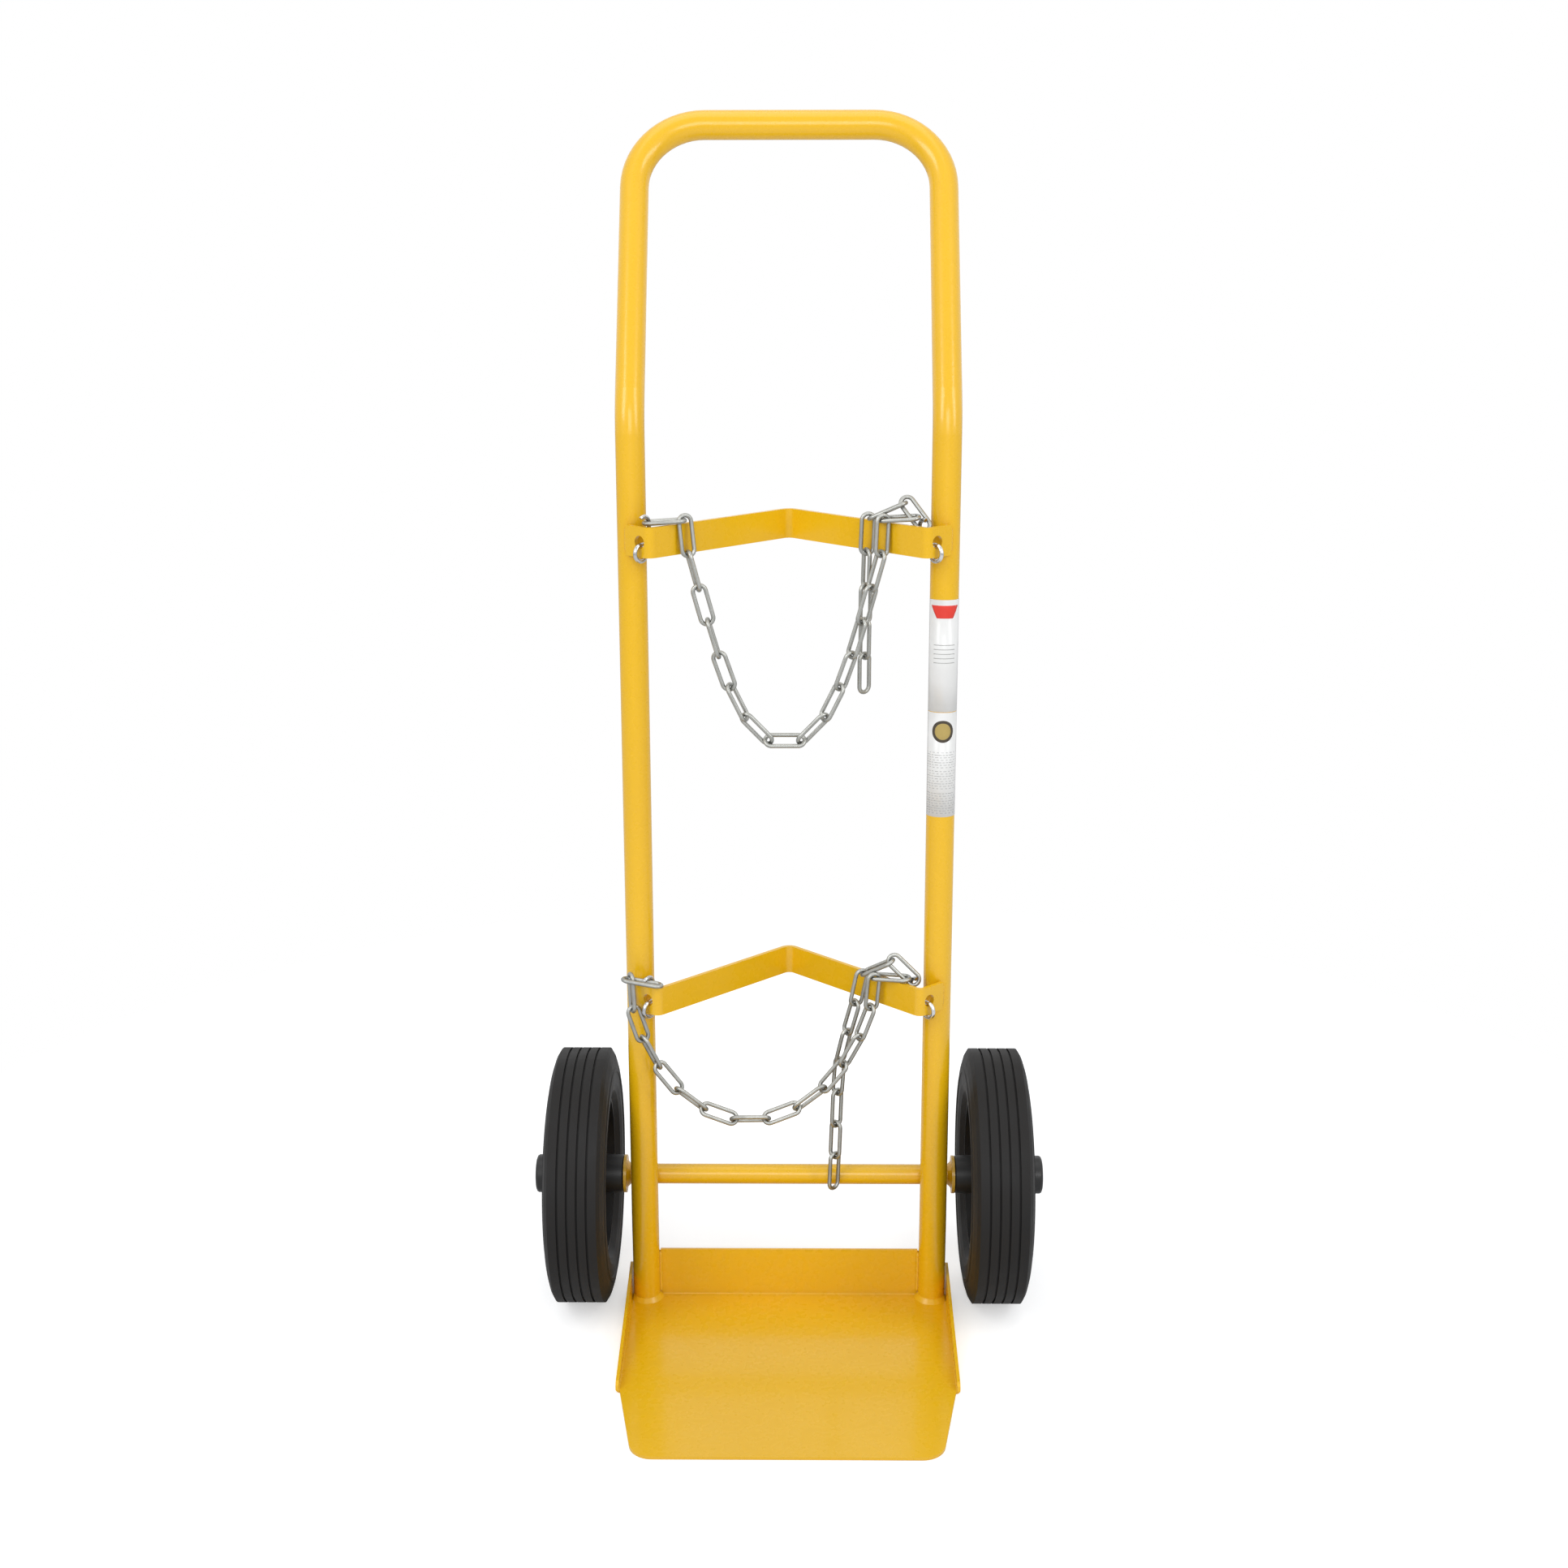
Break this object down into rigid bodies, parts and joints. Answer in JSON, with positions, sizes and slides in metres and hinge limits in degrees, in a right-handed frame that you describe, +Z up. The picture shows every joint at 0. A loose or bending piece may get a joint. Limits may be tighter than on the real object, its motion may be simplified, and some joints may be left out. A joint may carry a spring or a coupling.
{
  "type": "hand truck",
  "caption": "Two-wheeled hand truck for one upright gas bottle, with a bent tube frame, V cradles, hooked retaining chains and a folded toe tray.",
  "frame": {"origin": "on the floor, at the tray's underside, midway between the uprights and below their axis at the foot", "axes": "+X to the right seen from the front, -Y towards the front where the bottle is loaded, +Z up"},
  "size_m": [0.512, 0.4701, 1.1555],
  "materials": {
    "yellow_paint": "gloss powder coat",
    "chain_zinc": "dull zinc plate",
    "bright_steel": "bright zinc plate",
    "tyre_rubber": "matt rubber",
    "black_plastic": "fine-grained black plastic"
  },
  "bodies": {
    "frame": {"frame_tube": "yellow_paint", "toe_tray": "yellow_paint", "foot_welds": "yellow_paint", "upper_cradle_bar": "yellow_paint", "lower_cradle_bar": "yellow_paint", "axle": "yellow_paint", "axle_welds": "yellow_paint", "stop_washers": "yellow_paint", "retaining_rings": "bright_steel", "upper_left_hook": "bright_steel", "upper_right_hook": "bright_steel", "lower_left_hook": "bright_steel", "lower_right_hook": "bright_steel", "upper_left_end_link": "chain_zinc", "upper_right_end_links": "chain_zinc", "lower_left_end_link": "chain_zinc", "lower_right_end_links": "chain_zinc"},
    "wheel_left": {"tyre_left": "tyre_rubber", "rim_left": "black_plastic", "hub_cap_left": "black_plastic"},
    "wheel_right": {"tyre_right": "tyre_rubber", "rim_right": "black_plastic", "hub_cap_right": "black_plastic"},
    "upper_chain": {"upper_chain_swag": "chain_zinc"},
    "lower_chain": {"lower_chain_swag": "chain_zinc"},
    "upper_tail": {"upper_chain_tail": "chain_zinc"},
    "lower_tail": {"lower_chain_tail": "chain_zinc"}
  },
  "joints": [
    {"name": "left_wheel_spin", "type": "hinge", "parent": "frame", "child": "wheel_left", "pos_m": [-0.207, 0.02571, 0.1274], "axis": [1, 0, 0], "continuous": true},
    {"name": "right_wheel_spin", "type": "hinge", "parent": "frame", "child": "wheel_right", "pos_m": [0.207, 0.02571, 0.1274], "axis": [1, 0, 0], "continuous": true},
    {"name": "upper_chain_swing", "type": "hinge", "parent": "frame", "child": "upper_chain", "pos_m": [-0.00421, 0.02777, 0.79893], "axis": [0.9999, 0.0103, -0.0017], "range_deg": [-4, 0]},
    {"name": "lower_chain_swing", "type": "hinge", "parent": "frame", "child": "lower_chain", "pos_m": [-0.03453, -0.00444, 0.35905], "axis": [0.9979, 0.0605, -0.0235], "range_deg": [-4, 0]},
    {"name": "upper_tail_swing", "type": "hinge", "parent": "frame", "child": "upper_tail", "pos_m": [0.07382, 0.04045, 0.79837], "axis": [0, 1, 0], "range_deg": [-3, 3]},
    {"name": "lower_tail_swing", "type": "hinge", "parent": "frame", "child": "lower_tail", "pos_m": [0.07228, 0.01558, 0.35485], "axis": [0, 1, 0], "range_deg": [-3, 3]}
  ]
}
